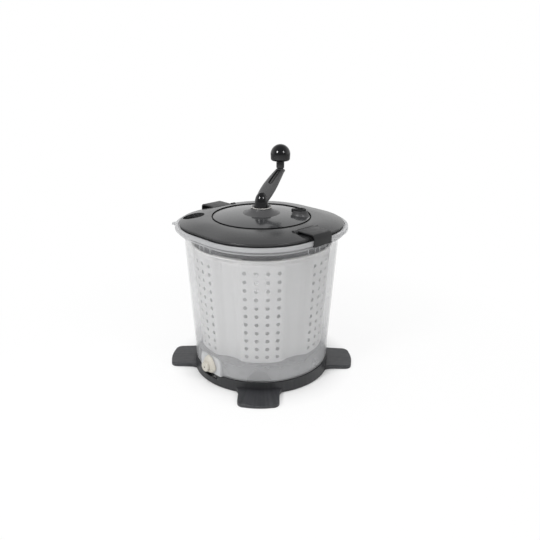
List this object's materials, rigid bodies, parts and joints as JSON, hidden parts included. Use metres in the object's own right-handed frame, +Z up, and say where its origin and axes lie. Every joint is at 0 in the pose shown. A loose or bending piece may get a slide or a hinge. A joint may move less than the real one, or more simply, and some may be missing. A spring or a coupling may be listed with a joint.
{
  "type": "portable washing machine",
  "caption": "Hand-cranked portable washer: translucent round tub with a perforated spinning basket, clip-on domed lid with a planetary crank drive, drain tap and a footed stand.",
  "frame": {"origin": "centre of the stand on the surface it rests on", "axes": "+Z up along the basket's axis, -Y the front with the tap on its left, the feet along X and Y"},
  "size_m": [0.39, 0.39, 0.453],
  "materials": {
    "stand_plastic": "satin dark grey moulded plastic",
    "rubber": "soft black rubber",
    "screw_steel": "plain steel screws",
    "tub_plastic": "milky translucent plastic",
    "pin_steel": "ground steel",
    "washer_plastic": "slippery white bearing plastic",
    "tap_plastic": "cream white plastic",
    "basket_plastic": "white plastic",
    "lid_plastic": "satin gloss dark grey plastic",
    "disc_plastic": "polished dark grey plastic",
    "gear_plastic": "natural engineering plastic",
    "cover_plastic": "dark grey plastic",
    "crank_plastic": "satin gloss dark grey plastic"
  },
  "bodies": {
    "stand": {"base_plate": "stand_plastic", "foot_pads": "rubber", "base_screws": "screw_steel", "outer_tub": "tub_plastic", "pivot_pin": "pin_steel", "thrust_washer": "washer_plastic", "tap_body": "tap_plastic", "tap_gasket": "rubber", "tap_nut": "tap_plastic"},
    "tap": {"tap_knob": "tap_plastic"},
    "basket": {"wash_basket": "basket_plastic", "basket_bush": "washer_plastic"},
    "lid": {"lid_ring": "lid_plastic", "lid_disc": "disc_plastic", "lid_gasket": "rubber", "ring_gear": "gear_plastic", "gearbox_cover": "cover_plastic", "crank_bush": "washer_plastic", "driver_bush": "washer_plastic", "gearbox_screws": "screw_steel", "disc_screws": "screw_steel", "latch_pins": "pin_steel"},
    "plug": {"filler_plug": "rubber"},
    "crank": {"crank_arm": "crank_plastic", "crank_shaft": "pin_steel", "planet_carrier": "gear_plastic", "planet_pins": "pin_steel", "knob_post": "crank_plastic"},
    "knob": {"crank_knob": "crank_plastic", "knob_cap": "crank_plastic"},
    "planet_one": {"planet_gear_1": "gear_plastic"},
    "planet_two": {"planet_gear_2": "gear_plastic"},
    "planet_three": {"planet_gear_3": "gear_plastic"},
    "driver": {"sun_shaft": "gear_plastic", "driver_wheel": "cover_plastic", "driver_screw": "screw_steel"},
    "front_latch": {"latch_front": "lid_plastic"},
    "back_latch": {"latch_back": "lid_plastic"}
  },
  "joints": [
    {"name": "basket_spin", "type": "hinge", "parent": "stand", "child": "basket", "pos_m": [0, 0, 0.061], "axis": [0, 0, 1], "continuous": true},
    {"name": "lid_lift", "type": "slide", "parent": "stand", "child": "lid", "axis": [0, 0, 1], "range_m": [0, 0.3]},
    {"name": "crank_turn", "type": "hinge", "parent": "lid", "child": "crank", "pos_m": [0, 0, 0.342], "axis": [0, 0, 1], "continuous": true},
    {"name": "driver_spin", "type": "hinge", "parent": "lid", "child": "driver", "pos_m": [0, 0, 0.293], "axis": [0, 0, 1], "continuous": true},
    {"name": "knob_spin", "type": "hinge", "parent": "crank", "child": "knob", "pos_m": [0.03657, 0.07115, 0.421], "axis": [0, 0, 1], "continuous": true},
    {"name": "front_latch_swing", "type": "hinge", "parent": "lid", "child": "front_latch", "pos_m": [0.08485, -0.08485, 0.3193], "axis": [-0.7071, -0.7071, 0], "range_deg": [0, 90]},
    {"name": "back_latch_swing", "type": "hinge", "parent": "lid", "child": "back_latch", "pos_m": [-0.08485, 0.08485, 0.3193], "axis": [0.7071, 0.7071, 0], "range_deg": [0, 90]},
    {"name": "plug_lift", "type": "slide", "parent": "lid", "child": "plug", "axis": [0, 0, 1], "range_m": [0, 0.025]},
    {"name": "tap_turn", "type": "hinge", "parent": "stand", "child": "tap", "pos_m": [-0.09899, -0.09899, 0.04], "axis": [-0.7071, -0.7071, 0], "range_deg": [0, 90]},
    {"name": "planet_one_spin", "type": "hinge", "parent": "crank", "child": "planet_one", "pos_m": [0.036, 0, 0.304], "axis": [0, 0, 1], "continuous": true},
    {"name": "planet_two_spin", "type": "hinge", "parent": "crank", "child": "planet_two", "pos_m": [-0.018, 0.03118, 0.304], "axis": [0, 0, 1], "continuous": true},
    {"name": "planet_three_spin", "type": "hinge", "parent": "crank", "child": "planet_three", "pos_m": [-0.018, -0.03118, 0.304], "axis": [0, 0, 1], "continuous": true}
  ],
  "couplings": [
    {"joint": "crank_turn", "follows": "basket_spin", "ratio": 0.25},
    {"joint": "driver_spin", "follows": "basket_spin", "ratio": 1},
    {"joint": "planet_one_spin", "follows": "basket_spin", "ratio": -0.75},
    {"joint": "planet_two_spin", "follows": "basket_spin", "ratio": -0.75},
    {"joint": "planet_three_spin", "follows": "basket_spin", "ratio": -0.75}
  ]
}
